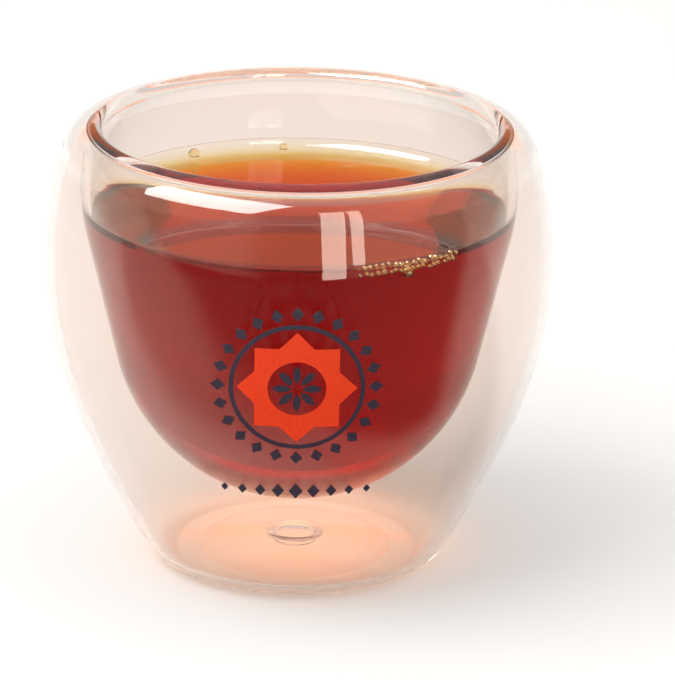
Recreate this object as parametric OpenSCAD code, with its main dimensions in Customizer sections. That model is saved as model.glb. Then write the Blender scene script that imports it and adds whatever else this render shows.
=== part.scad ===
// Double-walled glass cup for arabic coffee, filled, with an enamel print on its front.
// Millimetres, +Z up, origin at the centre of the ring that the cup stands on.
// Every round piece is one section, drawn with X as the radius and Y as the height, turned about Z.

/* [Outer wall] */
// Diameter over the belly, the widest place
cup_d = 72; // [62:0.5:84]
// Height from the table to the top of the lip
cup_h = 64; // [56:0.5:80]
// Depth of the widest place below the top of the lip
belly_drop = 20; // [17:0.5:22]
// Radius of the upright curve round the belly
belly_arc_r = 57; // [50:1:66]
// Depth below the widest place where the flatter curve takes over
join_drop = 21; // [20:0.5:24]
// Radius of the flatter curve between belly and foot
side_arc_r = 155; // [130:5:200]
// Radius of the rounded edge of the foot
foot_edge_r = 6; // [4:0.5:8]
// Thickness of the outer wall
outer_t = 1.2; // [1:0.1:1.6]
// Thickness of the floor
floor_t = 2; // [1.6:0.1:2.6]

/* [Foot] */
// Width of the flat ring that the cup stands on
ring_w = 3.7; // [2:0.1:5]
// Depth of the hollow under the floor
kick_h = 0.8; // [0.5:0.1:1.2]

/* [Inner bowl] */
// How much smaller the bowl's widest radius is than the cup's
bowl_gap = 5.15; // [4.6:0.05:5.8]
// Depth of the bowl's widest place below the top of the lip
bowl_drop = 9; // [7.5:0.5:10.5]
// Radius of the upright curve under the bowl's widest place
bowl_arc_r = 30; // [26:0.5:34]
// Radius of the tighter curve that draws the bowl in towards the lip
neck_arc_r = 18; // [15:0.5:22]
// Lean of the bowl's straight side, in degrees from upright
bowl_lean = 13; // [10:0.1:15]
// Air between the floor and the underside of the bowl
under_air = 6.9; // [5:0.1:9]
// Thickness of the bowl
inner_t = 1.2; // [1:0.1:1.6]

/* [Lip] */
// How far the crest of the lip lies inside the cup's widest radius
lip_inset = 7; // [6:0.1:7.5]
// Radius of the air space's end inside the lip
air_end_r = 0.5; // [0.3:0.05:0.8]
// Depth of the fused seam below the top of the lip
seam_drop = 4.7; // [4:0.1:6]

/* [Seal] */
// Diameter of the vent hole in the floor
vent_d = 6; // [4:0.25:8]
// How far the melted cap overlaps the floor round the hole
cap_overlap = 1.2; // [0.8:0.1:2]
// Height of the melted cap above the floor, in the middle
cap_h = 1.2; // [0.8:0.1:2]
// Thickness of the cap's edge
cap_edge_t = 0.3; // [0.2:0.05:0.5]
// How far the plug stands out under the floor
plug_proud = 0.25; // [0.1:0.05:0.4]
// Clearance round the plug
seal_gap = 0.03; // [0.02:0.01:0.08]

/* [Coffee] */
// Depth of the coffee's level below the top of the lip
coffee_drop = 12.7; // [9.5:0.1:24]
// Height that the coffee climbs at the wall
meniscus_h = 1.8; // [0.8:0.1:2.4]
// Width of the climbing edge at its top
meniscus_t = 0.2; // [0.15:0.05:0.4]
// Clearance between coffee and bowl
coffee_gap = 0.05; // [0.03:0.01:0.1]

/* [Print] */
// Depth of the middle of the medallion below the cup's widest place
medal_drop = 7; // [4:0.5:8]
// Radius to the points of the star
star_r = 8.2; // [6.5:0.1:9]
// Radius of the round window in the star
window_r = 4; // [3.5:0.1:4.6]
// Radius to the outer tips of the rosette's petals
rosette_r = 3.4; // [2.4:0.1:3.6]
// Radius to the inner tips of the petals
petal_in_r = 0.8; // [0.7:0.05:1]
// Width of a petal
petal_w = 1.1; // [0.8:0.05:1.2]
// Petals of the rosette
petals = 8; // [6:1:9]
// Clear space between star, ring and wreath
print_space = 0.5; // [0.3:0.05:0.6]
// Width of the ring line
ring_line = 0.6; // [0.4:0.05:0.9]
// Lozenges of the wreath
wreath_n = 24; // [12:4:28]
// Length of a lozenge of the wreath
lozenge_l = 2; // [1.4:0.1:2.4]
// Width of a lozenge of the wreath
lozenge_w = 1.7; // [1:0.1:2]
// Depth of the garland below the start of the flatter curve
garland_drop = 2.5; // [1.5:0.1:4]
// Width over the garland
garland_w = 22; // [16:0.5:26]
// Lozenges in the garland
garland_n = 9; // [5:2:13]
// Height of the middle lozenge of the garland
garland_tall = 2.6; // [1.6:0.1:3.2]
// Size of the end lozenges as a share of the middle one
garland_taper = 0.5; // [0.3:0.05:1]
// Clear space between lozenges of the garland
garland_space = 0.5; // [0.3:0.05:0.9]
// Thickness of the enamel
enamel_t = 0.18; // [0.12:0.02:0.3]
// Bond line between enamel and glass
enamel_gap = 0.02; // [0.01:0.01:0.04]

/* [Hidden] */
$fn = 256;
// How far an arc's chords may lie inside the arc, and the largest step along an arc in degrees
chord_depth = 0.012;
arc_step = 9;

// Unit vector at an angle, and the angle of a vector
function unit(a) = [cos(a), sin(a)];
function angle_of(v) = atan2(v.y, v.x);

// Points along an arc from one angle to another
function arc(c, r, a0, a1) =
    let (step = min(arc_step, 2 * acos(1 - chord_depth / r)), n = ceil(abs(a1 - a0) / step))
    [for (i = [0 : n]) c + r * unit(a0 + (a1 - a0) * i / n)];

// Upper crossing of two circles, the second one to the right of the first
function crossing(c1, r1, c2, r2) =
    let (along = c2 - c1,
         far = along * along,
         share = (far + r1 * r1 - r2 * r2) / (2 * far),
         rise = sqrt(r1 * r1 / far - share * share))
    c1 + share * along + rise * [-along.y, along.x];

// Outer wall: belly, flatter side and foot edge, each arc tangent to the next
belly_h = cup_h - belly_drop;
belly_c = [cup_d / 2 - belly_arc_r, belly_h];
join_a = -asin(join_drop / belly_arc_r);
side_c = belly_c - (side_arc_r - belly_arc_r) * unit(join_a);
foot_x = sqrt(pow(side_arc_r - foot_edge_r, 2) - pow(side_c.y - foot_edge_r, 2));
foot_c = [side_c.x + foot_x, foot_edge_r];
foot_a = angle_of(foot_c - side_c);

// Inner bowl: neck under the lip, side arc, straight leaning side and round bottom
bowl_c = [cup_d / 2 - bowl_gap - bowl_arc_r, cup_h - bowl_drop];
neck_c = bowl_c + [bowl_arc_r - neck_arc_r, 0];
bowl_base_h = kick_h + floor_t + under_air;
shoulder = bowl_c + bowl_arc_r * unit(-bowl_lean);
ball_fall = cos(bowl_lean) * shoulder.x + sin(bowl_lean) * (bowl_base_h - shoulder.y);
ball_r = ball_fall / (1 - sin(bowl_lean));
ball_c = [0, bowl_base_h + ball_r];

// Lip: one arc tangent to the outer wall and one tangent to the bowl's inside, meeting at the crest
neck_in_r = neck_arc_r - inner_t;
crest = [cup_d / 2 - lip_inset, cup_h];
crest_out = crest - belly_c;
crest_in = crest - neck_c;
lip_out_r = (pow(belly_arc_r, 2) - crest_out * crest_out) / (2 * (belly_arc_r - crest_out.y));
lip_in_r = (crest_in * crest_in - pow(neck_in_r, 2)) / (2 * (neck_in_r + crest_in.y));
lip_out_c = crest - [0, lip_out_r];
lip_in_c = crest - [0, lip_in_r];
lip_out_a = angle_of(lip_out_c - belly_c);
lip_in_a = angle_of(lip_in_c - neck_c);

// Air space: it follows the lip inside, to a rounded end that touches the bowl's outside
wall_in_r = belly_arc_r - outer_t;
roll_in_r = lip_out_r - outer_t;
air_end_c = crossing(neck_c, neck_arc_r + air_end_r, lip_out_c, roll_in_r - air_end_r);
air_out_a = angle_of(air_end_c - lip_out_c);
air_in_a = angle_of(air_end_c - neck_c);

// Seam: a flat ring across the outer wall, under the lip
seam_h = cup_h - seam_drop;
seam_out_a = asin((seam_h - belly_h) / belly_arc_r);
seam_in_a = asin((seam_h - belly_h) / wall_in_r);

// Foot: the hollow is part of a sphere, and the floor follows it
ring_r = foot_c.x - ring_w;
vent_r = vent_d / 2;
kick_r = (ring_r * ring_r + kick_h * kick_h) / (2 * kick_h);
kick_c = [0, kick_h - kick_r];
floor_r = kick_r + floor_t;

// Part of a sphere round the hollow's centre, from one distance off the axis to another
function dome(r, x0, x1) = arc(kick_c, r, acos(x0 / r), acos(x1 / r));

// Seal: the cap is part of a sphere that spreads over the floor
plug_r = vent_r - seal_gap;
cap_x = vent_r + cap_overlap;
cap_seat_r = floor_r + seal_gap;
cap_edge_h = kick_c.y + sqrt(cap_seat_r * cap_seat_r - cap_x * cap_x) + cap_edge_t;
cap_top_h = kick_h + floor_t + cap_h;
cap_rise = cap_top_h - cap_edge_h;
cap_r = (cap_x * cap_x + cap_rise * cap_rise) / (2 * cap_rise);
cap_c = [0, cap_top_h - cap_r];

// Coffee: its level, the top of its climbing edge, and its distance from the bowl's outer face
coffee_h = cup_h - coffee_drop;
coffee_top_h = coffee_h + meniscus_h;
coffee_inset = inner_t + coffee_gap;

// Print: star, ring line and wreath lie round each other, and the garland lies under them
medal_h = belly_h - medal_drop;
garland_h = belly_h - join_drop - garland_drop;
ring_in_r = star_r + print_space;
wreath_r = ring_in_r + ring_line + print_space;
star_side = star_r * sqrt(2);

// Outer wall's face, moved inwards by a distance, from the foot to an angle on the belly
function wall_face(inset, end_a) = concat(
    arc(foot_c, foot_edge_r - inset, -90, foot_a),
    arc(side_c, side_arc_r - inset, foot_a, join_a),
    arc(belly_c, belly_arc_r - inset, join_a, end_a));

// Bowl's outer face, moved inwards by a distance, from the axis to an angle on the neck
function bowl_face(inset, end_a) = concat(
    arc(ball_c, ball_r - inset, -90, -bowl_lean),
    arc(bowl_c, bowl_arc_r - inset, -bowl_lean, 0),
    arc(neck_c, neck_arc_r - inset, 0, end_a));

// Radius of that bowl face at a height
function bowl_x(inset, h) =
    let (high = bowl_c + (bowl_arc_r - inset) * unit(-bowl_lean),
         low = ball_c + (ball_r - inset) * unit(-bowl_lean))
    h > neck_c.y ? neck_c.x + sqrt(pow(neck_arc_r - inset, 2) - pow(h - neck_c.y, 2))
    : h > high.y ? bowl_c.x + sqrt(pow(bowl_arc_r - inset, 2) - pow(h - bowl_c.y, 2))
    : h > low.y ? low.x + (high.x - low.x) * (h - low.y) / (high.y - low.y)
    : sqrt(pow(ball_r - inset, 2) - pow(h - ball_c.y, 2));

function reversed(points) = [for (i = [len(points) - 1 : -1 : 0]) points[i]];

// Outer wall with its floor and the vent hole, up to the seam
module outer_wall() {
    color([0.98, 0.92, 0.87, 0.35])
        rotate_extrude()
            polygon(concat(
                wall_face(0, seam_out_a),
                reversed(wall_face(outer_t, seam_in_a)),
                dome(floor_r, ring_r, vent_r),
                dome(kick_r, vent_r, ring_r)));
}

// Inner bowl with the rolled lip, down to the seam on the outer wall
module inner_bowl() {
    color([0.98, 0.93, 0.88, 0.35])
        rotate_extrude()
            polygon(concat(
                bowl_face(inner_t, lip_in_a),
                arc(lip_in_c, lip_in_r, lip_in_a + 180, 90),
                arc(lip_out_c, lip_out_r, 90, lip_out_a),
                arc(belly_c, belly_arc_r, lip_out_a, seam_out_a),
                arc(belly_c, wall_in_r, seam_in_a, lip_out_a),
                arc(lip_out_c, roll_in_r, lip_out_a, air_out_a),
                arc(air_end_c, air_end_r, air_out_a, air_in_a + 180),
                reversed(bowl_face(0, air_in_a))));
}

// Melted glass seal: a plug in the vent hole under a low round cap
module base_seal() {
    color([0.97, 0.94, 0.9, 0.5])
        rotate_extrude()
            polygon(concat(
                dome(kick_r - plug_proud, 0, plug_r),
                dome(cap_seat_r, plug_r, cap_x),
                arc(cap_c, cap_r, acos(cap_x / cap_r), 90)));
}

// Coffee up to its level, with the edge that climbs the wall
module coffee() {
    edge_x = bowl_x(coffee_inset, coffee_top_h) - meniscus_t;
    edge_c = [edge_x - meniscus_h, coffee_top_h];
    color([0.35, 0.06, 0.03])
        rotate_extrude()
            intersection() {
                polygon(concat(bowl_face(coffee_inset, lip_in_a), [[0, cup_h]]));
                polygon(concat(
                    [[0, 0], [cup_d, 0], [cup_d, coffee_top_h]],
                    arc(edge_c, meniscus_h, 0, -90),
                    [[0, coffee_h]]));
            }
}

// Flat figure laid on the front of a face of the outer wall as a layer of enamel
module enamel(c, r) {
    intersection() {
        rotate_extrude()
            intersection() {
                translate(c)
                    difference() {
                        circle(r + enamel_gap + enamel_t);
                        circle(r + enamel_gap);
                    }
                square([cup_d, cup_h]);
            }
        rotate([90, 0, 0])
            linear_extrude(cup_d)
                children();
    }
}

// Lozenge standing on its point
module lozenge(w, h) {
    polygon([[0, -h / 2], [w / 2, 0], [0, h / 2], [-w / 2, 0]]);
}

// One petal of the rosette: the lens where two circles overlap
module petal() {
    half_l = (rosette_r - petal_in_r) / 2;
    arc_r = (half_l * half_l + petal_w * petal_w / 4) / petal_w;
    aside = arc_r - petal_w / 2;
    intersection() {
        translate([-aside, petal_in_r + half_l])
            circle(arc_r);
        translate([aside, petal_in_r + half_l])
            circle(arc_r);
    }
}

// Ring line and wreath round the star, and the rosette in its window
module medal_lines() {
    difference() {
        circle(ring_in_r + ring_line);
        circle(ring_in_r);
    }
    for (i = [0 : wreath_n - 1])
        rotate(i * 360 / wreath_n)
            translate([0, wreath_r + lozenge_l / 2])
                lozenge(lozenge_w, lozenge_l);
    for (i = [0 : petals - 1])
        rotate(i * 360 / petals)
            petal();
}

// Row of lozenges that grow smaller from the middle to the ends
module garland() {
    pitch = garland_w / garland_n;
    half = (garland_n - 1) / 2;
    for (i = [-half : half]) {
        size = 1 - (1 - garland_taper) * abs(i) / half;
        translate([i * pitch, 0])
            lozenge((pitch - garland_space) * size, garland_tall * size);
    }
}

// Eight-pointed star of two squares, with a round window
module print_star() {
    color([0.93, 0.26, 0.05])
        enamel(belly_c, belly_arc_r)
            translate([0, medal_h])
                difference() {
                    union() {
                        square(star_side, center = true);
                        rotate(45)
                            square(star_side, center = true);
                    }
                    circle(window_r);
                }
}

// Lines of the medallion on the belly, and the garland on the side below it
module print_border() {
    color([0.13, 0.12, 0.2]) {
        enamel(belly_c, belly_arc_r)
            translate([0, medal_h])
                medal_lines();
        enamel(side_c, side_arc_r)
            translate([0, garland_h])
                garland();
    }
}

outer_wall();
inner_bowl();
base_seal();
coffee();
print_star();
print_border();
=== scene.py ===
"""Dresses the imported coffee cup: double-walled glass, coffee, enamel print and a plain studio.

Metres, +Z up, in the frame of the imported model. The front of the cup, with its print, faces -Y.
"""

import logging
import random
from abc import ABC, abstractmethod
from dataclasses import dataclass
from enum import Enum
from functools import cached_property
from math import acos, asin, atan, atan2, ceil, cos, degrees, pi, radians, sin, sqrt, tau

import bpy
from bpy.types import Material, NodeSocket, NodeTree, Object
from mathutils import Matrix, Vector


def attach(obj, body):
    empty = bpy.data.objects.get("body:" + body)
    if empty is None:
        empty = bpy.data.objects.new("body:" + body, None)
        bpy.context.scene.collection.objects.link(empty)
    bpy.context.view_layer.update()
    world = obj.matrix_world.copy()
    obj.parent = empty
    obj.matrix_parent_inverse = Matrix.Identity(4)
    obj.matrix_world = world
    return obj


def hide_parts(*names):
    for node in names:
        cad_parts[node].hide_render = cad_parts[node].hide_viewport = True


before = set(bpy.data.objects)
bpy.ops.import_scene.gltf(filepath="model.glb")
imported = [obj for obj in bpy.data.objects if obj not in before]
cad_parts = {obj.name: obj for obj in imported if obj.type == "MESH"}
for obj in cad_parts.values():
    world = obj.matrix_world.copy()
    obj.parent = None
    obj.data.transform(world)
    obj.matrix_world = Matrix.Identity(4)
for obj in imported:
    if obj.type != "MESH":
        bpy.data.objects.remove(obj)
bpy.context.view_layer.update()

LOG = logging.getLogger("coffee_cup")
MM = 0.001
BODY = "root"
UP = Vector((0.0, 0.0, 1.0))
BOUNCES = 96

Points = list[Vector]
Span = tuple[float, float]
Colour = tuple[float, float, float]
Value = float | Colour | NodeSocket
WHITE: Colour = (1.0, 1.0, 1.0)
PANE_LIGHT: Colour = (1.0, 0.88, 0.74)

# A Mix node's sockets for colours, which come after those for numbers and vectors.
MIX_A, MIX_B, MIX_OUT = 6, 7, 2


class Node(Enum):
    """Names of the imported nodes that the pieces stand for."""

    OUTER_WALL = "outer_wall"
    INNER_BOWL = "inner_bowl"
    BASE_SEAL = "base_seal"
    COFFEE = "coffee"
    PRINT_STAR = "print_star"
    PRINT_BORDER = "print_border"


class Slot(Enum):
    """Names of material slots of the record."""

    OUTER_GLASS = "outer_glass"
    INNER_GLASS = "inner_glass"
    SEAL_GLASS = "seal_glass"
    COFFEE = "coffee"


def polar(angle: float) -> Vector:
    """Returns the unit vector at an angle in degrees, in a section's plane."""
    return Vector((cos(radians(angle)), sin(radians(angle))))


def angle_of(vector: Vector) -> float:
    """Returns the angle of a section vector in degrees."""
    return degrees(atan2(vector.y, vector.x))


@dataclass(frozen=True)
class Arc:
    """Part of a circle in a section, where X is the radius of the cup and Y the height.

    Attributes:
        centre: Centre of the circle.
        radius: Radius of the circle.
        start: Angle of the first point, in degrees.
        end: Angle of the last point, in degrees.
        max_chord: Longest step along the arc.
        max_turn: Largest step along the arc, in degrees.
    """

    centre: Vector
    radius: float
    start: float
    end: float
    max_chord: float = 1.2 * MM
    max_turn: float = 5.0

    def points(self) -> Points:
        """Works out the points along the arc.

        Returns:
            The points, both ends included.
        """
        sweep = self.end - self.start
        length = radians(abs(sweep)) * self.radius
        count = max(1, ceil(max(length / self.max_chord, abs(sweep) / self.max_turn)))
        angles = [self.start + sweep * i / count for i in range(count + 1)]
        return [self.centre + self.radius * polar(angle) for angle in angles]


@dataclass(frozen=True)
class CupForm:
    """Sizes that the glass pieces share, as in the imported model, and what follows from them."""

    cup_d: float = 72 * MM
    cup_h: float = 64 * MM
    belly_drop: float = 20 * MM
    belly_arc_r: float = 57 * MM
    join_drop: float = 21 * MM
    side_arc_r: float = 155 * MM
    foot_edge_r: float = 6 * MM
    outer_t: float = 1.2 * MM
    floor_t: float = 2 * MM
    ring_w: float = 3.7 * MM
    kick_h: float = 0.8 * MM
    bowl_gap: float = 5.15 * MM
    bowl_drop: float = 9 * MM
    bowl_arc_r: float = 30 * MM
    bowl_lean: float = 13.0
    neck_arc_r: float = 18 * MM
    under_air: float = 6.9 * MM
    inner_t: float = 1.2 * MM
    lip_inset: float = 7 * MM
    air_end_r: float = 0.5 * MM
    seam_drop: float = 4.7 * MM
    vent_r: float = 3 * MM

    @property
    def belly_h(self) -> float:
        """Height of the cup's widest place."""
        return self.cup_h - self.belly_drop

    @property
    def wall_in_r(self) -> float:
        """Radius of the belly's curve on the inside of the outer wall."""
        return self.belly_arc_r - self.outer_t

    @cached_property
    def belly_c(self) -> Vector:
        """Centre of the belly's curve."""
        return Vector((self.cup_d / 2 - self.belly_arc_r, self.belly_h))

    @cached_property
    def join_a(self) -> float:
        """Angle at which the belly's curve meets the flatter side."""
        return -degrees(asin(self.join_drop / self.belly_arc_r))

    @cached_property
    def side_c(self) -> Vector:
        """Centre of the flatter side's curve."""
        return self.belly_c - (self.side_arc_r - self.belly_arc_r) * polar(self.join_a)

    @cached_property
    def foot_c(self) -> Vector:
        """Centre of the rounded edge of the foot."""
        reach = self.side_arc_r - self.foot_edge_r
        across = sqrt(reach**2 - (self.side_c.y - self.foot_edge_r) ** 2)
        return Vector((self.side_c.x + across, self.foot_edge_r))

    @cached_property
    def foot_a(self) -> float:
        """Angle at which the flatter side meets the edge of the foot."""
        return angle_of(self.foot_c - self.side_c)

    @cached_property
    def bowl_c(self) -> Vector:
        """Centre of the bowl's curve under its widest place."""
        across = self.cup_d / 2 - self.bowl_gap - self.bowl_arc_r
        return Vector((across, self.cup_h - self.bowl_drop))

    @cached_property
    def neck_c(self) -> Vector:
        """Centre of the tighter curve that draws the bowl in towards the lip."""
        return self.bowl_c + Vector((self.bowl_arc_r - self.neck_arc_r, 0.0))

    @cached_property
    def ball_r(self) -> float:
        """Radius of the bowl's round bottom, outside."""
        shoulder = self.bowl_c + self.bowl_arc_r * polar(-self.bowl_lean)
        lean = radians(self.bowl_lean)
        fall = cos(lean) * shoulder.x + sin(lean) * (self.bowl_base_h - shoulder.y)
        return fall / (1 - sin(lean))

    @property
    def bowl_base_h(self) -> float:
        """Height of the bowl's underside."""
        return self.kick_h + self.floor_t + self.under_air

    @cached_property
    def ball_c(self) -> Vector:
        """Centre of the bowl's round bottom."""
        return Vector((0.0, self.bowl_base_h + self.ball_r))

    @property
    def crest(self) -> Vector:
        """Highest point of the lip."""
        return Vector((self.cup_d / 2 - self.lip_inset, self.cup_h))

    @cached_property
    def lip_out_r(self) -> float:
        """Radius of the lip on its outer side, tangent to the belly's curve."""
        span = self.crest - self.belly_c
        return (self.belly_arc_r**2 - span.length_squared) / (2 * (self.belly_arc_r - span.y))

    @cached_property
    def lip_in_r(self) -> float:
        """Radius of the lip on its inner side, tangent to the inside of the bowl."""
        span = self.crest - self.neck_c
        neck_in_r = self.neck_arc_r - self.inner_t
        return (span.length_squared - neck_in_r**2) / (2 * (neck_in_r + span.y))

    @property
    def lip_out_c(self) -> Vector:
        """Centre of the lip's outer curve."""
        return self.crest - self.lip_out_r * Vector((0.0, 1.0))

    @property
    def lip_in_c(self) -> Vector:
        """Centre of the lip's inner curve."""
        return self.crest - self.lip_in_r * Vector((0.0, 1.0))

    @property
    def lip_out_a(self) -> float:
        """Angle at which the belly's curve meets the lip."""
        return angle_of(self.lip_out_c - self.belly_c)

    @property
    def lip_in_a(self) -> float:
        """Angle at which the inside of the bowl meets the lip."""
        return angle_of(self.lip_in_c - self.neck_c)

    @property
    def roll_in_r(self) -> float:
        """Radius of the hollow inside the lip."""
        return self.lip_out_r - self.outer_t

    @cached_property
    def air_end_c(self) -> Vector:
        """Centre of the air space's rounded end, which touches the lip's hollow and the bowl."""
        along = self.lip_out_c - self.neck_c
        far, near = self.neck_arc_r + self.air_end_r, self.roll_in_r - self.air_end_r
        share = (along.length_squared + far**2 - near**2) / (2 * along.length_squared)
        rise = sqrt(far**2 / along.length_squared - share**2)
        return self.neck_c + share * along + rise * along.orthogonal()

    @property
    def seam_h(self) -> float:
        """Height of the fused seam between outer wall and bowl."""
        return self.cup_h - self.seam_drop

    @property
    def seam_angles(self) -> Span:
        """Angles on the belly at which the wall's outer and inner face reach the seam."""
        rise = self.seam_h - self.belly_h
        outer, inner = rise / self.belly_arc_r, rise / self.wall_in_r
        return degrees(asin(outer)), degrees(asin(inner))

    @property
    def ring_r(self) -> float:
        """Inner radius of the flat ring that the cup stands on."""
        return self.foot_c.x - self.ring_w

    @property
    def kick_r(self) -> float:
        """Radius of the shallow hollow under the floor."""
        return (self.ring_r**2 + self.kick_h**2) / (2 * self.kick_h)

    def dome(self, radius: float, start: float, end: float) -> Points:
        """Works out points on a sphere round the hollow's centre.

        Args:
            radius: Radius of the sphere.
            start: Distance of the first point from the axis.
            end: Distance of the last point from the axis.

        Returns:
            The section points from start to end.
        """
        centre = Vector((0.0, self.kick_h - self.kick_r))
        first = degrees(acos(start / radius))
        last = degrees(acos(end / radius))
        return Arc(centre, radius, first, last).points()

    def wall_face(self, inset: float, top_a: float) -> Points:
        """Works out the outer wall's face, moved inwards, from the foot to an angle on the belly.

        Args:
            inset: Distance inwards from the outer face.
            top_a: Angle on the belly's curve where the face ends.

        Returns:
            The section points from the foot upwards.
        """
        return join(
            Arc(self.foot_c, self.foot_edge_r - inset, -90, self.foot_a),
            Arc(self.side_c, self.side_arc_r - inset, self.foot_a, self.join_a),
            Arc(self.belly_c, self.belly_arc_r - inset, self.join_a, top_a),
        )

    def bowl_face(self, inset: float, top_a: float) -> Points:
        """Works out the bowl's outer face, moved inwards, from the axis to an angle under the lip.

        Args:
            inset: Distance inwards from the outer face.
            top_a: Angle on the upper curve where the face ends.

        Returns:
            The section points from the axis upwards.
        """
        ball = Arc(self.ball_c, self.ball_r - inset, -90, -self.bowl_lean)
        side = Arc(self.bowl_c, self.bowl_arc_r - inset, -self.bowl_lean, min(top_a, 0.0))
        if top_a <= 0.0:
            return join(ball, side)
        return join(ball, side, Arc(self.neck_c, self.neck_arc_r - inset, 0.0, top_a))

    def bowl_angle(self, inset: float, height: float) -> float:
        """Returns the angle at which the bowl's upper curve, moved inwards, reaches a height."""
        return degrees(asin((height - self.bowl_c.y) / (self.bowl_arc_r - inset)))


def join(*arcs: Arc) -> Points:
    """Lays arcs end to end.

    Args:
        arcs: The arcs in order.

    Returns:
        Their points, each shared point once.
    """
    points = arcs[0].points()
    for arc in arcs[1:]:
        points.extend(arc.points()[1:])
    return points


class Bench:
    """Edit-mode operations that the pieces are made with."""

    spin_steps = 180
    weld_dist = 0.002 * MM
    smooth_angle = radians(40)

    @staticmethod
    def start(name: str) -> Object:
        """Adds a plane at the origin, alone in the selection, and enters edit mode.

        Args:
            name: Name of the piece.

        Returns:
            The new piece.
        """
        bpy.ops.object.select_all(action="DESELECT")
        bpy.ops.mesh.primitive_plane_add(size=1 * MM, location=(0, 0, 0))
        piece = bpy.context.object
        piece.name = piece.data.name = name
        bpy.ops.object.mode_set(mode="EDIT")
        bpy.ops.mesh.select_mode(type="VERT")
        return piece

    @staticmethod
    def trace(points: Points) -> None:
        """Draws a line through section points, from the vertex that the selection is merged to.

        Args:
            points: Section points, X along the model's X and Y along its Z.
        """
        bpy.ops.mesh.merge(type="CENTER")
        last = Vector((0.0, 0.0))
        for index, point in enumerate(points):
            step = point - last
            move = {"value": (step.x, 0, step.y)}
            if index == 0:
                bpy.ops.transform.translate(**move)
            else:
                bpy.ops.mesh.extrude_vertices_move(TRANSFORM_OT_translate=move)
            last = point

    @classmethod
    def spin(cls) -> None:
        """Spins what is drawn once round Z, closes seam and poles and turns the faces outwards."""
        bpy.ops.mesh.select_all(action="SELECT")
        bpy.ops.mesh.spin(steps=cls.spin_steps, angle=tau, center=(0, 0, 0), axis=UP)
        bpy.ops.mesh.select_all(action="SELECT")
        bpy.ops.mesh.remove_doubles(threshold=cls.weld_dist)
        bpy.ops.mesh.normals_make_consistent(inside=False)

    @classmethod
    def finish(cls) -> None:
        """Leaves edit mode and shades the piece smooth, apart from its sharp edges."""
        bpy.ops.object.mode_set(mode="OBJECT")
        bpy.ops.object.shade_smooth_by_angle(angle=cls.smooth_angle)

    @classmethod
    def lathe(cls, name: str, points: Points) -> Object:
        """Makes a round piece from its section.

        Args:
            name: Name of the piece.
            points: Section points. The first and last lie on the axis or on each other.

        Returns:
            The new piece, in object mode.
        """
        piece = cls.start(name)
        cls.trace(points)
        cls.spin()
        cls.finish()
        return piece


def report(piece: Object) -> None:
    """Reports a finished piece."""
    size = ", ".join(f"{d / MM:.2f}" for d in piece.dimensions)
    LOG.info("%s: %s mm, %d faces", piece.name, size, len(piece.data.polygons))


def place(piece: Object, node: Node | None) -> None:
    """Ties a finished piece to the model and reports it.

    Args:
        piece: The finished piece.
        node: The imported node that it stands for, if any.
    """
    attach(piece, BODY)
    if node is not None:
        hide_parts(node.value)
    report(piece)


class Nodes:
    """Node tree of a material, group or world, with short calls to add and link nodes."""

    def __init__(self, tree: NodeTree) -> None:
        """Takes a tree and empties it."""
        self.tree = tree
        tree.nodes.clear()

    def put(self, socket: NodeSocket, value: Value) -> None:
        """Gives an input its value.

        Args:
            socket: The input.
            value: A constant, or the output that it is linked to.
        """
        if isinstance(value, NodeSocket):
            self.tree.links.new(value, socket)
        else:
            socket.default_value = (*value, 1.0) if socket.type == "RGBA" else value

    def add(self, kind: str, *values: Value, **inputs: object) -> bpy.types.Node:
        """Adds a node.

        Args:
            kind: Node type, without its prefix.
            values: Values of its inputs, in order.
            inputs: The same by name, with _ for a space, or properties in lower case.

        Returns:
            The new node.
        """
        prefix = "NodeGroup" if kind in ("Input", "Output") else "ShaderNode"
        node = self.tree.nodes.new(prefix + kind)
        for key, value in inputs.items():
            if key[0].islower():
                setattr(node, key, value)
            else:
                self.put(node.inputs[key.replace("_", " ")], value)
        for socket, value in zip(node.inputs, values):
            self.put(socket, value)
        return node

    def maths(self, operation: str, *values: Value, clamp: bool = False) -> NodeSocket:
        """Returns the result of an operation on numbers."""
        return self.add("Math", *values, operation=operation, use_clamp=clamp).outputs[0]

    def ramp(
        self, value: Value, span: Span, low: Value = 0.0, high: Value = 1.0, easing: str = "SMOOTHSTEP"
    ) -> NodeSocket:
        """Returns a number that goes from low to high while a value crosses a span."""
        node = self.add("MapRange", value, *span, low, high, interpolation_type=easing)
        return node.outputs["Result"]

    def blend(self, share: Value, first: Value, second: Value) -> NodeSocket:
        """Mixes two colours.

        Args:
            share: Share of the second colour.
            first: The first colour.
            second: The second colour.

        Returns:
            The mixed colour.
        """
        node = self.add("Mix", share, data_type="RGBA")
        self.put(node.inputs[MIX_A], first)
        self.put(node.inputs[MIX_B], second)
        return node.outputs[MIX_OUT]

    def noise(self, group: NodeTree, span: Span = (0.0, 1.0)) -> NodeSocket:
        """Returns a shared noise that runs between two numbers."""
        return self.add("Group", *span, node_tree=group).outputs[0]

    def clear(self, tint: Colour, ior: float, **inputs: Value) -> NodeSocket:
        """Returns a shader that lets light through, with any other inputs by name."""
        look = {"Base_Color": tint, "IOR": ior, "Roughness": 0.0, "Transmission_Weight": 1.0}
        return self.add("BsdfPrincipled", **(look | inputs)).outputs[0]

    def bump(self, height: Value, depth: float) -> NodeSocket:
        """Returns the normals of a face with a relief of a depth."""
        return self.add("Bump", Strength=1.0, Distance=depth, Height=height).outputs[0]


def new_material(name: str) -> tuple[Material, Nodes]:
    """Makes a material.

    Args:
        name: Name of the material.

    Returns:
        The material and its emptied node tree.
    """
    material = bpy.data.materials.new(name)
    material.use_nodes = True
    return material, Nodes(material.node_tree)


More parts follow.
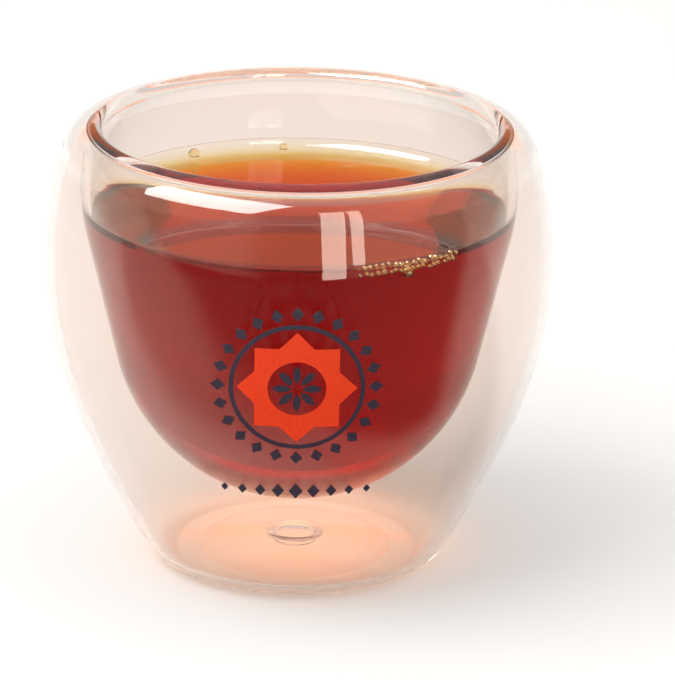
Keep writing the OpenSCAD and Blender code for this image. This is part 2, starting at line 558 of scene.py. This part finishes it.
def noise_group(name: str, scale: float, detail: float, stretch: float) -> NodeTree:
    """Builds a group that puts out a soft noise over Object coordinates.

    Args:
        name: Name of the group.
        scale: Waves in a metre.
        detail: Octaves of finer waves.
        stretch: How much longer the waves are upright than across.

    Returns:
        The group, with inputs Low and High and output Value.
    """
    tree = bpy.data.node_groups.new(name, "ShaderNodeTree")
    for label in ("Low", "High"):
        tree.interface.new_socket(label, in_out="INPUT", socket_type="NodeSocketFloat")
    tree.interface.new_socket("Value", in_out="OUTPUT", socket_type="NodeSocketFloat")
    nodes = Nodes(tree)
    limits = nodes.add("Input").outputs
    coords = nodes.add("TexCoord").outputs["Object"]
    mapping = nodes.add("Mapping", Vector=coords, Scale=(1.0, 1.0, 1.0 / stretch))
    waves = nodes.add("TexNoise", Vector=mapping.outputs[0], Scale=scale, Detail=detail)
    between = nodes.ramp(waves.outputs["Fac"], (0.0, 1.0), limits["Low"], limits["High"], "LINEAR")
    nodes.add("Output", Value=between)
    return tree


@dataclass(frozen=True)
class Effects:
    """Shared node groups, built once and placed in each material that uses them.

    Attributes:
        ripple: Long soft waves of blown glass.
        grain: Fine grain of a screen print.
    """

    ripple: NodeTree
    grain: NodeTree


def lamp_film(nodes: Nodes, shader: NodeSocket, film: Colour) -> NodeSocket:
    """Lets lamps shine through a clear shader.

    Args:
        nodes: The material's nodes.
        shader: The shader that every other ray meets.
        film: Share of each colour of lamp light that passes.

    Returns:
        The mixed shader.
    """
    shadow = nodes.add("LightPath").outputs["Is Shadow Ray"]
    clear = nodes.add("BsdfTransparent", Color=film).outputs[0]
    return nodes.add("MixShader", shadow, shader, clear).outputs[0]


@dataclass(frozen=True)
class GlassFinish:
    """Clear blown glass with a faint warm tint and a gentle ripple.

    Attributes:
        name: Name of the material.
        tint: Colour that a wall of the glass lets through.
        film: Share of lamp light that passes one face.
        ior: Refraction of the glass.
        ripple: Height of the ripple.
    """

    name: str
    tint: Colour = (0.96, 0.9, 0.85)
    film: Colour = (0.99, 0.97, 0.955)
    ior: float = 1.38
    ripple: float = 0.03 * MM

    def material(self, effects: Effects) -> Material:
        """Makes the material.

        Args:
            effects: Shared node groups.

        Returns:
            The new material.
        """
        material, nodes = new_material(self.name)
        relief = nodes.bump(nodes.noise(effects.ripple), self.ripple)
        glass = nodes.clear(self.tint, self.ior, Normal=relief)
        nodes.add("OutputMaterial", Surface=lamp_film(nodes, glass, self.film))
        return material


@dataclass(frozen=True)
class WeldFinish:
    """Glass that runs on across a fused seam, where no surface shows."""

    name: str = "fused_weld"

    def material(self) -> Material:
        """Makes the material.

        Returns:
            The new material.
        """
        material, nodes = new_material(self.name)
        clear = nodes.add("BsdfTransparent", Color=WHITE)
        nodes.add("OutputMaterial", Surface=clear.outputs[0])
        return material


@dataclass(frozen=True)
class CoffeeFinish:
    """Clear brewed coffee, amber where it is thin and dark red where it is deep.

    Attributes:
        name: Name of the material.
        ior: Refraction of the coffee.
        absorbed: How fast red, green and blue light fade in it, as powers of e in a metre.
        margin: Density of the volume as a share of the fastest fade, over 1 so that no colour is 0.
    """

    name: str = "brewed_coffee"
    ior: float = 1.333
    absorbed: Colour = (22.0, 150.0, 600.0)
    margin: float = 1.02

    def material(self) -> Material:
        """Makes the material.

        Returns:
            The new material.
        """
        material, nodes = new_material(self.name)
        density = max(self.absorbed) * self.margin
        colour = [1.0 - fade / density for fade in self.absorbed]
        depth = nodes.add("VolumeAbsorption", Color=colour, Density=density).outputs[0]
        nodes.add("OutputMaterial", Surface=nodes.clear(WHITE, self.ior), Volume=depth)
        return material


@dataclass(frozen=True)
class BubbleFinish:
    """Skin of a bubble, clear on top of the coffee and mirror-like under its level.

    Attributes:
        name: Name of the material.
        tint: Colour that the skin lets through or throws back.
        mirror: Share of light that it throws back like a mirror.
        ior: Refraction of the bubble as a whole.
        roughness: Roughness of the skin.
        film: Share of lamp light that passes one face.
    """

    name: str
    tint: Colour = (1.0, 0.86, 0.62)
    mirror: float = 0.0
    ior: float = 1.25
    roughness: float = 0.04
    film: Colour = (1.0, 0.9, 0.75)

    def material(self) -> Material:
        """Makes the material.

        Returns:
            The new material.
        """
        material, nodes = new_material(self.name)
        skin = nodes.clear(self.tint, self.ior, Roughness=self.roughness, Metallic=self.mirror)
        nodes.add("OutputMaterial", Surface=lamp_film(nodes, skin, self.film))
        return material


@dataclass(frozen=True)
class EnamelFinish:
    """Fired screen-print enamel with a fine grain.

    Attributes:
        name: Name of the material.
        colour: Colour of the enamel.
        thin: Colour where the print came out thin.
        thinning: Share of the thin colour at the bottom and the top of the grain.
        roughness: Lowest and highest roughness.
        grain: Height of the grain.
        ior: Refraction of the enamel.
        shine: Strength of its mirror light, where 0.5 is that of a clean face.
    """

    name: str
    colour: Colour
    thin: Colour
    thinning: Span = (-0.6, 1.2)
    roughness: Span = (0.42, 0.62)
    grain: float = 0.02 * MM
    ior: float = 1.5
    shine: float = 0.12

    def material(self, effects: Effects) -> Material:
        """Makes the material.

        Args:
            effects: Shared node groups.

        Returns:
            The new material.
        """
        material, nodes = new_material(self.name)
        tone = nodes.noise(effects.grain, self.thinning)
        enamel = nodes.add(
            "BsdfPrincipled",
            Base_Color=nodes.blend(tone, self.colour, self.thin),
            Roughness=nodes.noise(effects.grain, self.roughness),
            IOR=self.ior,
            Specular_IOR_Level=self.shine,
            Normal=nodes.bump(tone, self.grain),
        )
        nodes.add("OutputMaterial", Surface=enamel.outputs[0])
        return material


@dataclass
class GlassPiece(ABC):
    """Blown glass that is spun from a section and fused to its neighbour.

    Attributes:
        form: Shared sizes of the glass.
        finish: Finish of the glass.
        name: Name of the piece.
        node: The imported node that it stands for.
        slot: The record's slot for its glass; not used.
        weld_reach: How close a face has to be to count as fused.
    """

    form: CupForm
    finish: GlassFinish
    name: str
    node: Node
    slot: Slot
    weld_reach: float = 0.02 * MM

    @abstractmethod
    def section(self) -> Points:
        """Returns the section that the piece is spun from."""

    @abstractmethod
    def fused(self) -> Span:
        """Returns the height of a flat fused face and the radius of an upright one, 0 for none."""

    def build(self) -> Object:
        """Returns the piece, spun from its section."""
        return Bench.lathe(self.name, self.section())

    def dress(self, piece: Object, effects: Effects, weld: Material) -> None:
        """Gives the piece its glass, and its fused faces the weld.

        Args:
            piece: The piece.
            effects: Shared node groups.
            weld: Material of fused faces.
        """
        seam_h, core_r = self.fused()
        piece.data.materials.append(self.finish.material(effects))
        piece.data.materials.append(weld)
        for face in piece.data.polygons:
            corners = [piece.data.vertices[i].co for i in face.vertices]
            flat = all(abs(corner.z - seam_h) < self.weld_reach for corner in corners)
            upright = all(abs(corner.xy.length - core_r) < self.weld_reach for corner in corners)
            face.material_index = int(flat or upright)
        place(piece, self.node)


@dataclass
class OuterWall(GlassPiece):
    """Outer wall with its floor, up to the fused seam."""

    finish: GlassFinish = GlassFinish("outer_glass", tint=(0.92, 0.852, 0.806))
    name: str = "outer_wall_glass"
    node: Node = Node.OUTER_WALL
    slot: Slot = Slot.OUTER_GLASS

    def section(self) -> Points:
        """Works out the section: up the outer face, down the inner one and across the floor.

        Returns:
            The section, closed on itself.
        """
        form = self.form
        seam_out_a, seam_in_a = form.seam_angles
        section = form.wall_face(0.0, seam_out_a)
        section += form.wall_face(form.outer_t, seam_in_a)[::-1]
        section += form.dome(form.kick_r + form.floor_t, form.ring_r, form.vent_r)
        section += form.dome(form.kick_r, form.vent_r, form.ring_r)
        section.append(section[0])
        return section

    def fused(self) -> Span:
        """Returns the height of the seam and the radius of the vent hole."""
        return self.form.seam_h, self.form.vent_r


@dataclass
class InnerBowl(GlassPiece):
    """Inner bowl with the rolled lip, down to the fused seam."""

    finish: GlassFinish = GlassFinish("inner_glass", tint=(0.985, 0.945, 0.908))
    name: str = "inner_bowl_glass"
    node: Node = Node.INNER_BOWL
    slot: Slot = Slot.INNER_GLASS

    def section(self) -> Points:
        """Works out the section: up the inside, over the lip to the seam, and back round the air.

        Returns:
            The section, from the axis to the axis.
        """
        form = self.form
        seam_out_a, seam_in_a = form.seam_angles
        air_out_a = angle_of(form.air_end_c - form.lip_out_c)
        air_in_a = angle_of(form.air_end_c - form.neck_c)
        lip = join(
            Arc(form.lip_in_c, form.lip_in_r, form.lip_in_a + 180, 90),
            Arc(form.lip_out_c, form.lip_out_r, 90, form.lip_out_a),
            Arc(form.belly_c, form.belly_arc_r, form.lip_out_a, seam_out_a),
        )
        hollow = join(
            Arc(form.belly_c, form.wall_in_r, seam_in_a, form.lip_out_a),
            Arc(form.lip_out_c, form.roll_in_r, form.lip_out_a, air_out_a),
            Arc(form.air_end_c, form.air_end_r, air_out_a, air_in_a + 180),
        )
        inside = form.bowl_face(form.inner_t, form.lip_in_a)
        outside = form.bowl_face(0.0, air_in_a)[::-1]
        return inside + lip[1:] + hollow + outside[1:]

    def fused(self) -> Span:
        """Returns the height of the seam."""
        return self.form.seam_h, 0.0


@dataclass
class BaseSeal(GlassPiece):
    """Melted glass that closes the vent hole: a plug under a low round cap.

    Attributes:
        cap_overlap: How far the cap spreads over the floor.
        cap_h: Height of the cap above the floor.
        cap_edge_t: Thickness of the cap's edge.
        plug_proud: How far the plug stands out under the floor.
        gap: Clearance round the plug.
    """

    finish: GlassFinish = GlassFinish("seal_glass", ripple=0.01 * MM)
    name: str = "base_seal_glass"
    node: Node = Node.BASE_SEAL
    slot: Slot = Slot.SEAL_GLASS
    cap_overlap: float = 1.2 * MM
    cap_h: float = 1.2 * MM
    cap_edge_t: float = 0.3 * MM
    plug_proud: float = 0.25 * MM
    gap: float = 0.03 * MM

    @property
    def plug_r(self) -> float:
        """Radius of the plug."""
        return self.form.vent_r - self.gap

    def section(self) -> Points:
        """Works out the section: under the plug, up its side, out over the floor and over the cap.

        Returns:
            The section, from the axis to the axis.
        """
        form = self.form
        cap_x = form.vent_r + self.cap_overlap
        seat = form.dome(form.kick_r + form.floor_t + self.gap, self.plug_r, cap_x)
        top_h = form.kick_h + form.floor_t + self.cap_h
        rise = top_h - seat[-1].y - self.cap_edge_t
        cap_r = (cap_x**2 + rise**2) / (2 * rise)
        edge_a = degrees(acos(cap_x / cap_r))
        cap = Arc(Vector((0.0, top_h - cap_r)), cap_r, edge_a, 90)
        return form.dome(form.kick_r - self.plug_proud, 0.0, self.plug_r) + seat + cap.points()

    def fused(self) -> Span:
        """Returns the radius of the plug."""
        return 0.0, self.plug_r


@dataclass
class CoffeeFill:
    """Coffee in the bowl, with the edge that climbs the wall.

    Attributes:
        form: Shared sizes of the glass.
        drop: Depth of the level below the top of the lip.
        meniscus_h: Height that the coffee climbs at the wall.
        wetting: How far the coffee's side lies inside the glass, so that no air shows between.
        rings: Rings of faces across the level.
        finish: Finish of the coffee.
        name: Name of the piece.
    """

    form: CupForm
    drop: float = 12.7 * MM
    meniscus_h: float = 1.8 * MM
    wetting: float = 0.15 * MM
    rings: int = 24
    finish: CoffeeFinish = CoffeeFinish()
    name: str = "coffee_fill"

    @property
    def level(self) -> float:
        """Height of the coffee's flat surface."""
        return self.form.cup_h - self.drop

    @property
    def inset(self) -> float:
        """Distance of the coffee's side from the bowl's outer face."""
        return self.form.inner_t - self.wetting

    @property
    def edge_r(self) -> float:
        """Radius of the coffee's side at the top of its climbing edge."""
        form = self.form
        top_a = form.bowl_angle(self.inset, self.level + self.meniscus_h)
        return (form.bowl_c + (form.bowl_arc_r - self.inset) * polar(top_a)).x

    @property
    def curl_c(self) -> Vector:
        """Centre of the curve by which the edge climbs the wall."""
        across = self.edge_r - self.wetting - self.meniscus_h
        return Vector((across, self.level + self.meniscus_h))

    def build(self) -> Object:
        """Spins the coffee from its section.

        Returns:
            The new piece.
        """
        form = self.form
        section = form.bowl_face(self.inset, form.bowl_angle(self.inset, self.curl_c.y))
        section += Arc(self.curl_c, self.meniscus_h, 0, -90).points()
        shares = [1 - i / self.rings for i in range(1, self.rings + 1)]
        section += [Vector((self.curl_c.x * share, self.level)) for share in shares]
        return Bench.lathe(self.name, section)

    def dress(self, piece: Object) -> None:
        """Gives the coffee its finish."""
        piece.data.materials.append(self.finish.material())
        place(piece, Node.COFFEE)


class BeadBench(Bench):
    """The same operations for small beads, which need fewer steps."""

    spin_steps = 28


@dataclass(frozen=True)
class BubbleRow:
    """Bubbles side by side along the wall.

    Attributes:
        azimuths: Where the row starts and ends, in degrees from -Y towards +X.
        count: Number of bubbles.
        radii: Smallest and largest radius of their domes.
        insets: Smallest and largest distance from the wall.
        heights: Lowest and highest place of a dome's centre over the level.
        jitter: Largest shift along the row, as a share of the step between two bubbles.
    """

    azimuths: Span
    count: int
    radii: Span
    insets: Span
    heights: Span
    jitter: float = 0.2

    @classmethod
    def single(cls, azimuth: float, radius: float, inset: float, height: float) -> "BubbleRow":
        """Returns a row that holds one bubble."""
        pairs = ((value, value) for value in (radius, inset, height))
        return cls((azimuth, azimuth), 1, *pairs)

    def bubbles(self, draw: random.Random) -> list[tuple[float, float, float, float]]:
        """Draws the bubbles.

        Args:
            draw: Source of the random numbers.

        Returns:
            The azimuth, radius, inset and height of each bubble.
        """
        first, last = self.azimuths
        step = (last - first) / max(1, self.count - 1)
        bubbles = []
        for i in range(self.count):
            azimuth = first + step * (i + draw.uniform(-self.jitter, self.jitter))
            sizes = [draw.uniform(*span) for span in (self.radii, self.insets, self.heights)]
            bubbles.append((azimuth, *sizes))
        return bubbles


@dataclass
class CoffeeBubbles:
    """Small bubbles at the edge of the coffee.

    Attributes:
        fill: The coffee that they lie on.
        name: Name of the piece.
        rows: The rows of bubbles.
        finish: Finish of the bubbles.
        waist_a: Angle on the dome, in degrees, where its flatter underside begins.
        belly_share: Radius of the underside, as a share of the dome's.
        max_turn: Largest step along a bubble's section, in degrees.
        seed: Start of the random numbers.
    """

    fill: CoffeeFill
    name: str
    rows: tuple[BubbleRow, ...]
    finish: BubbleFinish
    waist_a: float = -20.0
    belly_share: float = 1.6
    max_turn: float = 12.0
    seed: int = 7

    def section(self, radius: float) -> Points:
        """Works out a bubble at the origin: a round dome over a flatter underside.

        Args:
            radius: Radius of the dome.

        Returns:
            The section, from the axis to the axis.
        """
        waist = radius * polar(self.waist_a)
        belly_r = radius * self.belly_share
        belly_c = Vector((0.0, waist.y + sqrt(belly_r**2 - waist.x**2)))
        under = Arc(belly_c, belly_r, -90, angle_of(waist - belly_c), max_turn=self.max_turn)
        dome = Arc(Vector((0.0, 0.0)), radius, self.waist_a, 90, max_turn=self.max_turn)
        return join(under, dome)

    def build(self) -> Object:
        """Spins the bubbles one by one and joins them.

        Returns:
            The new piece.
        """
        draw = random.Random(self.seed)
        wall_r = self.fill.edge_r - self.fill.wetting
        beads = []
        for row in self.rows:
            for azimuth, radius, inset, height in row.bubbles(draw):
                turn, reach = radians(azimuth), wall_r - inset - radius
                level = Vector((reach * sin(turn), -reach * cos(turn), self.fill.level))
                bead = BeadBench.lathe(self.name, self.section(radius))
                bead.location = level + UP * height
                beads.append(bead)
        bpy.ops.object.select_all(action="DESELECT")
        for bead in beads:
            bead.select_set(True)
        bpy.ops.object.transform_apply(location=True, rotation=False, scale=False)
        bpy.context.view_layer.objects.active = beads[0]
        bpy.ops.object.join()
        piece = bpy.context.object
        piece.name = piece.data.name = self.name
        return piece

    def dress(self, piece: Object) -> None:
        """Gives the bubbles their finish."""
        piece.data.materials.append(self.finish.material())
        place(piece, None)


FLOATING = (
    BubbleRow.single(-146.5, 0.85 * MM, 0.76 * MM, 0.98 * MM),
    BubbleRow.single(-175.0, 0.65 * MM, 0.88 * MM, 0.8 * MM),
)
AT_WALL = (
    BubbleRow((16.5, 45.0), 18, (0.32 * MM, 0.5 * MM), (0.02 * MM, 0.06 * MM), (-0.4 * MM, 0.1 * MM)),
    BubbleRow((17.5, 46.0), 17, (0.26 * MM, 0.4 * MM), (0.02 * MM, 0.06 * MM), (0.5 * MM, 1.0 * MM)),
    BubbleRow.single(30.5, 0.95 * MM, 0.02 * MM, -0.8 * MM),
)


@dataclass(frozen=True)
class PrintLayer:
    """One colour of the print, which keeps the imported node's own mesh.

    Attributes:
        node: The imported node.
        finish: Finish of the enamel.
    """

    node: Node
    finish: EnamelFinish

    def dress(self, effects: Effects) -> None:
        """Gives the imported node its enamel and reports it.

        Args:
            effects: Shared node groups.
        """
        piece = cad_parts[self.node.value]
        piece.data.materials.clear()
        piece.data.materials.append(self.finish.material(effects))
        report(piece)


PRINT = (
    PrintLayer(Node.PRINT_STAR, EnamelFinish("orange_enamel", (0.8, 0.05, 0.005), (0.7, 0.03, 0.004))),
    PrintLayer(Node.PRINT_BORDER, EnamelFinish("navy_enamel", (0.03, 0.022, 0.04), (0.05, 0.036, 0.058))),
)


class Reach(Enum):
    """What a lamp gives its light to."""

    ALL = "all"
    HIGHLIGHTS = "highlights"
    MATT = "matt"


@dataclass(frozen=True)
class SoftBox:
    """Soft lamp that faces a point from a direction.

    Attributes:
        name: Name of the lamp.
        azimuth: Its direction, in degrees from -Y towards +X.
        elevation: Its height, in degrees.
        distance: Distance from the point that it faces.
        size: Its width and height.
        power: Its power, in watts.
        reach: What it gives its light to.
        colour: Colour of its light.
        aim: The point that it faces, or None for the middle of the cup.
        is_round: Whether it is round, as wide as its size says.
    """

    name: str
    azimuth: float
    elevation: float
    distance: float
    size: Span
    power: float
    reach: Reach = Reach.ALL
    colour: Colour = (1.0, 0.985, 0.965)
    aim: tuple[float, float, float] | None = None
    is_round: bool = False

    def hang(self, middle: Vector) -> None:
        """Adds the lamp.

        Args:
            middle: The middle of the cup.
        """
        aim = middle if self.aim is None else Vector(self.aim)
        side, rise = radians(self.azimuth), radians(self.elevation)
        level = Vector((sin(side), -cos(side), 0.0)) * cos(rise)
        away = level + UP * sin(rise)
        bpy.ops.object.light_add(type="AREA", location=aim + away * self.distance)
        lamp = bpy.context.object
        lamp.name = lamp.data.name = self.name
        lamp.rotation_euler = away.to_track_quat("Z", "Y").to_euler()
        lamp.data.shape = "DISK" if self.is_round else "RECTANGLE"
        lamp.data.size, lamp.data.size_y = self.size
        lamp.data.energy = self.power
        lamp.data.color = self.colour
        lamp.visible_camera = False
        lamp.visible_diffuse = self.reach is not Reach.HIGHLIGHTS
        lamp.visible_glossy = self.reach is not Reach.MATT
        lamp.visible_transmission = self.reach is Reach.ALL


# Small lamp under the bowl, for the warm light that the coffee throws on the base.
COFFEE_GLOW = SoftBox(
    "coffee_glow",
    azimuth=0.0,
    elevation=90.0,
    distance=5.2 * MM,
    size=(20 * MM, 20 * MM),
    power=0.031,
    reach=Reach.MATT,
    colour=(1.0, 0.52, 0.28),
    aim=(0.0, 4 * MM, 0.0),
    is_round=True,
)


@dataclass
class Studio:
    """Floor, world and lamps round the cup.

    Attributes:
        sweep_w: Width of the paper sweep.
        sweep_front: How far it runs to the front.
        sweep_back: How far it runs back, where it turns up.
        sweep_bend: Radius of the turn.
        sweep_rise: Height of its back.
        paper: Colour of the paper.
        fade: Places along Y where the painted shade on the mirrored paper is darkest and where it ends.
        dark: Share of its colour that is left where it is darkest.
        flank: Places along X over which the painted shade comes further back at the right.
        flank_shift: How far it comes back there.
        glow: Light that the paper adds where it is seen, also mirrored or through glass.
        low_sky: Colour of the world low in front.
        side_sky: Colour that it has low at the left and right.
        back_sky: Warm colour that it has low behind, for the light that coffee scatters.
        high_sky: Colour of the world overhead.
        side_span: Share of a direction across, where the sides begin and where they are full.
        sky_span: Share of a direction upwards, where the low world ends and the high one begins.
        back_span: Share of a direction backwards, where the front ends and the back begins.
        back_lift: How much lower the high world begins behind.
        lamps: The lamps.
    """

    sweep_w: float = 4.0
    sweep_front: float = 2.0
    sweep_back: float = 1.2
    sweep_bend: float = 0.15
    sweep_rise: float = 0.37
    paper: Colour = (0.84, 0.84, 0.84)
    fade: Span = (-0.062, -0.038)
    dark: float = 0.15
    flank: Span = (0.0, 0.05)
    flank_shift: float = 0.055
    glow: float = 0.23
    low_sky: Colour = (0.1, 0.1, 0.1)
    side_sky: Colour = (0.86, 0.7, 0.62)
    back_sky: Colour = (1.6, 0.53, 0.28)
    high_sky: Colour = (0.66, 0.65, 0.64)
    side_span: Span = (0.2, 0.5)
    sky_span: Span = (0.37, 0.45)
    back_span: Span = (0.0, 0.3)
    back_lift: float = 0.05
    lamps: tuple[SoftBox, ...] = (
        SoftBox("side_window", -85.0, 58.0, 1.6, (1.9, 1.5), 3.6),
        SoftBox("left_window", -64.0, 54.0, 0.9, (0.8, 0.5), 3.1),
        SoftBox("front_fill", -10.0, 25.0, 0.9, (0.5, 0.5), 1.5, Reach.MATT),
        SoftBox("left_strip", -52.0, 45.0, 0.9, (0.95, 0.62), 50.0, Reach.HIGHLIGHTS),
        SoftBox("front_window", 15.5, 17.0, 0.9, (0.17, 0.55), 4.6, Reach.HIGHLIGHTS, PANE_LIGHT),
        SoftBox("front_pane", 26.5, 19.0, 0.9, (0.09, 0.5), 2.1, Reach.HIGHLIGHTS, PANE_LIGHT),
        COFFEE_GLOW,
    )

    def build(self, middle: Vector) -> None:
        """Builds the floor, the world and the lamps.

        Args:
            middle: The middle of the cup.
        """
        self.lay_floor()
        self.fill_world()
        for lamp in self.lamps:
            lamp.hang(middle)

    def lay_floor(self) -> None:
        """Lays a paper sweep that turns up at the back."""
        sweep = Bench.start("paper_sweep")
        bend = Vector((self.sweep_back - self.sweep_bend, self.sweep_bend))
        turn = Arc(bend, self.sweep_bend, -90, 0, max_chord=self.sweep_bend)
        front = Vector((-self.sweep_front, 0.0))
        top = Vector((self.sweep_back, self.sweep_rise))
        Bench.trace([front, *turn.points(), top])
        bpy.ops.mesh.select_all(action="SELECT")
        bpy.ops.transform.rotate(value=-pi / 2, orient_axis="Z", center_override=(0, 0, 0))
        bpy.ops.transform.translate(value=(-self.sweep_w / 2, 0, 0))
        bpy.ops.mesh.extrude_edges_move(TRANSFORM_OT_translate={"value": (self.sweep_w, 0, 0)})
        bpy.ops.mesh.select_all(action="SELECT")
        bpy.ops.mesh.normals_make_consistent(inside=False)
        Bench.finish()
        sweep.data.materials.append(self.paper_material())

    def paper_material(self) -> Material:
        """Makes white paper that keeps the shadow, with a painted dark reflection: darker in front only
        where mirrored.

        Returns:
            The new material.
        """
        material, nodes = new_material("paper_with_painted_dark_reflection")
        split = nodes.add("SeparateXYZ", nodes.add("TexCoord").outputs["Object"]).outputs
        path = nodes.add("LightPath").outputs
        # Painted shade in reflections only: the paper turns darker in front, and further back at the
        # right, where a ray has been mirrored.
        shift = nodes.ramp(split["X"], self.flank, high=self.flank_shift)
        fade = nodes.ramp(nodes.maths("SUBTRACT", split["Y"], shift), self.fade, low=self.dark)
        mirrored = nodes.maths("MINIMUM", path["Glossy Depth"], 1.0)
        shade = nodes.add("Mix", mirrored, A=1.0, B=fade).outputs[0]
        tone = nodes.add("VectorMath", self.paper, operation="SCALE", Scale=shade).outputs[0]
        paint = nodes.add("BsdfDiffuse", Color=tone).outputs[0]
        seen = nodes.maths("ADD", path["Is Camera Ray"], path["Is Glossy Ray"], clamp=True)
        seen = nodes.maths("ADD", seen, path["Is Transmission Ray"], clamp=True)
        glow = nodes.maths("MULTIPLY", nodes.maths("MULTIPLY", seen, shade), self.glow)
        shine = nodes.add("Emission", Color=WHITE, Strength=glow).outputs[0]
        both = nodes.add("AddShader", paint, shine).outputs[0]
        nodes.add("OutputMaterial", Surface=both)
        return material

    def fill_world(self) -> None:
        """Fills the world with a room, white to the camera and, in front, through the glass."""
        world = bpy.data.worlds.new("studio")
        bpy.context.scene.world = world
        world.use_nodes = True
        nodes = Nodes(world.node_tree)
        split = nodes.add("SeparateXYZ", nodes.add("TexCoord").outputs["Generated"]).outputs
        path = nodes.add("LightPath").outputs
        sides = nodes.ramp(nodes.maths("ABSOLUTE", split["X"]), self.side_span)
        behind = nodes.ramp(split["Y"], self.back_span, easing="LINEAR")
        height = nodes.maths("MULTIPLY_ADD", behind, self.back_lift, split["Z"])
        low = nodes.blend(behind, self.low_sky, self.back_sky)
        low = nodes.blend(sides, low, self.side_sky)
        room = nodes.blend(nodes.ramp(height, self.sky_span), low, self.high_sky)
        sky = nodes.add("Background", Color=room, Strength=1.0).outputs[0]
        white = nodes.add("Background", Color=WHITE, Strength=1.0).outputs[0]
        through, depth = path["Is Transmission Ray"], path["Glossy Depth"]
        straight = nodes.maths("SUBTRACT", through, depth, clamp=True)
        clear = nodes.maths("MULTIPLY", straight, nodes.maths("SUBTRACT", 1.0, behind))
        bare = nodes.maths("MAXIMUM", path["Is Camera Ray"], clear)
        mix = nodes.add("MixShader", bare, sky, white).outputs[0]
        nodes.add("OutputWorld", Surface=mix)


@dataclass(frozen=True)
class PhotoCamera:
    """Camera at the photograph's place.

    Attributes:
        frame_px: Width and height of the photograph.
        focus_px: Focal length, in pixels of the photograph.
        aim_px: Where the aim point lies in the photograph.
        aim_h: Height of the aim point on the cup's axis.
        distance: Distance of the camera from the aim point.
        elevation: Height of the camera above the aim point, in degrees.
        roll: Turn of the picture, in degrees clockwise.
        sensor: Width of the sensor, in millimetres.
        clip_start: Nearest distance that it sees.
    """

    frame_px: tuple[int, int] = (675, 692)
    focus_px: float = 4880.0
    aim_px: Span = (297.5, 344.0)
    aim_h: float = 31.2 * MM
    distance: float = 698 * MM
    elevation: float = 19.0
    roll: float = 0.75
    sensor: float = 36.0
    clip_start: float = 10 * MM

    @property
    def aim(self) -> Vector:
        """Point on the cup's axis that the camera is placed by."""
        return UP * self.aim_h

    def build(self) -> None:
        """Adds the camera and makes it the scene's own."""
        rise = radians(self.elevation)
        away = Vector((0.0, -cos(rise), sin(rise)))
        turn = away.to_track_quat("Z", "Y").to_matrix().to_4x4()
        yaw = atan((self.aim_px[0] - self.frame_px[0] / 2) / self.focus_px)
        pitch = atan((self.aim_px[1] - self.frame_px[1] / 2) / self.focus_px)
        turn = turn @ Matrix.Rotation(radians(self.roll), 4, "Z")
        turn = turn @ Matrix.Rotation(yaw, 4, "Y") @ Matrix.Rotation(pitch, 4, "X")
        bpy.ops.object.camera_add()
        camera = bpy.context.object
        camera.name = "photo_camera"
        camera.matrix_world = Matrix.Translation(self.aim + away * self.distance) @ turn
        camera.data.sensor_fit = "HORIZONTAL"
        camera.data.sensor_width = self.sensor
        camera.data.lens = self.focus_px * self.sensor / self.frame_px[0]
        camera.data.clip_start = self.clip_start
        bpy.context.scene.camera = camera


def set_render() -> None:
    """Sets the plain view transform and enough bounces for light in the double wall."""
    scene = bpy.context.scene
    scene.view_settings.view_transform = "Standard"
    for kind in ("max", "transmission", "glossy", "transparent_max"):
        setattr(scene.cycles, f"{kind}_bounces", BOUNCES)
    scene.cycles.caustics_reflective = False
    scene.cycles.caustics_refractive = False


def main() -> None:
    """Builds and dresses the cup, then the studio round it."""
    logging.basicConfig(level=logging.INFO, format="%(name)s: %(message)s")
    set_render()
    camera = PhotoCamera()
    camera.build()
    effects = Effects(
        ripple=noise_group("blown_ripple", scale=45.0, detail=1.0, stretch=3.0),
        grain=noise_group("print_grain", scale=2600.0, detail=2.0, stretch=1.0),
    )
    weld = WeldFinish().material()
    form = CupForm()
    for glass in (OuterWall(form), InnerBowl(form), BaseSeal(form)):
        glass.dress(glass.build(), effects, weld)
    coffee = CoffeeFill(form)
    coffee.dress(coffee.build())
    gleam = BubbleFinish("bubble_gleam", mirror=0.75)
    for bubbles in (
        CoffeeBubbles(coffee, "floating_bubbles", FLOATING, BubbleFinish("bubble_film")),
        CoffeeBubbles(coffee, "wall_bubbles", AT_WALL, gleam),
    ):
        bubbles.dress(bubbles.build())
    for layer in PRINT:
        layer.dress(effects)
    Studio().build(camera.aim)


if __name__ == "__main__":
    main()
